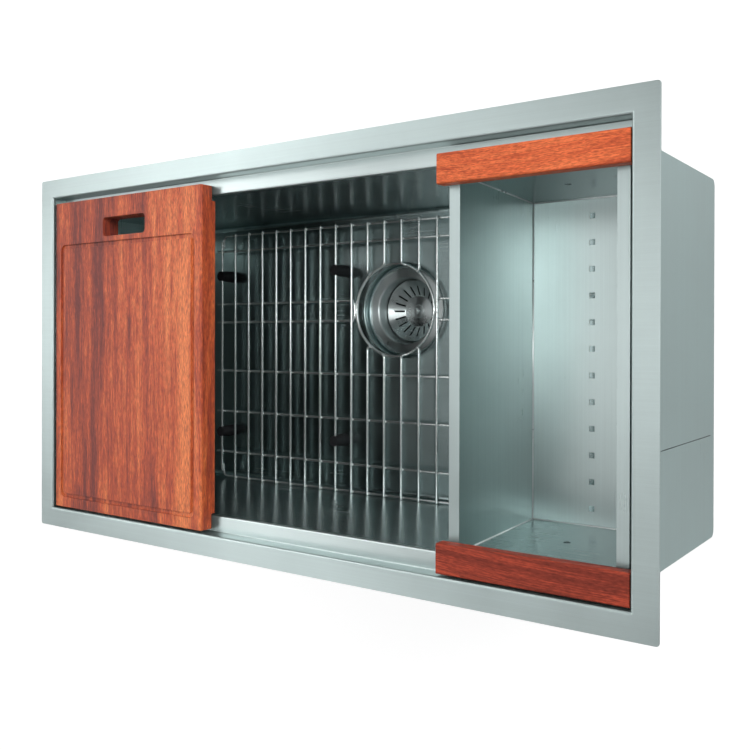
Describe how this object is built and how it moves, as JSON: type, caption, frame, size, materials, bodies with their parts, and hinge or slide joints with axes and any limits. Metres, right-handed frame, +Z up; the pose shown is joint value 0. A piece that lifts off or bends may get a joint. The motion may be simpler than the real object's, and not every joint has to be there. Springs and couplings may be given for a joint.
{
  "type": "workstation kitchen sink",
  "caption": "Stainless single-bowl workstation sink with ledges that carry a sliding wooden cutting board and a sliding colander, plus a bottom grid and a basket strainer.",
  "frame": {"origin": "centre of the bowl opening in the top plane of the rim", "axes": "+X right along the width, +Y to the rear, +Z up"},
  "size_m": [0.838, 0.463, 0.392],
  "materials": {
    "sheet_steel": "brushed",
    "bowl_steel": "brushed",
    "strainer_steel": "polished",
    "wire_steel": "polished",
    "colander_steel": "brushed",
    "fastener_steel": "satin",
    "board_wood": "oiled",
    "rail_wood": "oiled",
    "black_rubber": "matte",
    "fibre": "matte",
    "white_washer": "matte",
    "nut_metal": "satin"
  },
  "bodies": {
    "sink": {"rim_flange": "sheet_steel", "front_step": "bowl_steel", "rear_step": "bowl_steel", "front_ledge": "bowl_steel", "rear_ledge": "bowl_steel", "front_wall": "bowl_steel", "rear_wall": "bowl_steel", "left_wall": "bowl_steel", "right_wall": "bowl_steel", "bowl_floor": "bowl_steel", "drain_recess": "bowl_steel", "strainer_body": "strainer_steel", "strainer_gasket": "black_rubber", "friction_washer": "fibre", "strainer_locknut": "nut_metal", "tailpiece_washer": "white_washer", "tailpiece": "strainer_steel", "coupling_nut": "nut_metal"},
    "strainer_basket": {"basket_plate": "strainer_steel", "basket_post": "fastener_steel", "basket_knob": "strainer_steel", "basket_stopper": "black_rubber", "basket_nut": "fastener_steel"},
    "bottom_grid": {"grid_end_rods": "wire_steel", "grid_side_wires": "wire_steel", "grid_wires": "wire_steel", "grid_leg_wires": "wire_steel", "grid_cross_wires": "wire_steel", "grid_ring": "wire_steel", "grid_feet": "black_rubber"},
    "board": {"cutting_board": "board_wood"},
    "colander": {"colander_wrap": "colander_steel", "colander_front_end": "colander_steel", "colander_rear_end": "colander_steel", "colander_front_rail": "rail_wood", "colander_rear_rail": "rail_wood", "colander_screws": "fastener_steel"}
  },
  "joints": [
    {"name": "board_slide", "type": "slide", "parent": "sink", "child": "board", "axis": [1, 0, 0], "range_m": [0, 0.155]},
    {"name": "colander_slide", "type": "slide", "parent": "sink", "child": "colander", "axis": [-1, 0, 0], "range_m": [0, 0.155]},
    {"name": "grid_lift", "type": "slide", "parent": "sink", "child": "bottom_grid", "axis": [0, 0, 1], "range_m": [0, 0.06]},
    {"name": "basket_lift", "type": "slide", "parent": "sink", "child": "strainer_basket", "axis": [0, 0, 1], "range_m": [0, 0.15]}
  ]
}
